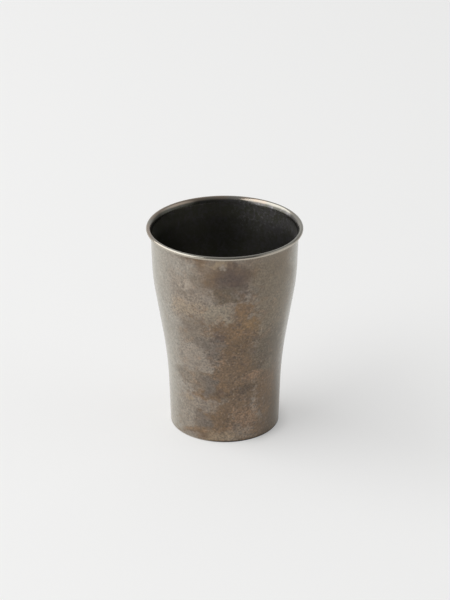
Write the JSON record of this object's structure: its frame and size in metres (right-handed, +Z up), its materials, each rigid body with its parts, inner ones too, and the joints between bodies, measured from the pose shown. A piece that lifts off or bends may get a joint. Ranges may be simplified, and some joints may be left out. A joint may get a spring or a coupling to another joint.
{
  "type": "stainless steel tumbler",
  "caption": "Waisted steel drinking tumbler with a rolled lip, an insulating vacuum wall and a recessed base cover.",
  "frame": {"origin": "centre of the foot, on the plane that it stands on", "axes": "+Z up along the tumbler's axis; +X towards the getter under the floor"},
  "size_m": [0.08, 0.08, 0.11],
  "materials": {
    "patina_steel": "satin, mottled grey-brown patina",
    "inner_steel": "polished lip above a dark inside",
    "foot_steel": "ground, worn by the table",
    "base_steel": "satin, lightly stained",
    "sheet_steel": "plain mill finish",
    "seam_steel": "as welded",
    "copper_foil": "bright copper foil",
    "solder_glass": "fused sealing glass",
    "getter_alloy": "pressed metal powder"
  },
  "bodies": {
    "root": {"outer_body": "patina_steel", "inner_body": "inner_steel", "lip_seam": "seam_steel", "inner_bottom": "inner_steel", "inner_seam": "seam_steel", "foil_wrap": "copper_foil", "middle_bottom": "sheet_steel", "foot_seam": "foot_steel", "base_cover": "base_steel", "sealing_glass": "solder_glass", "getter": "getter_alloy", "getter_clip": "sheet_steel"}
  },
  "joints": []
}
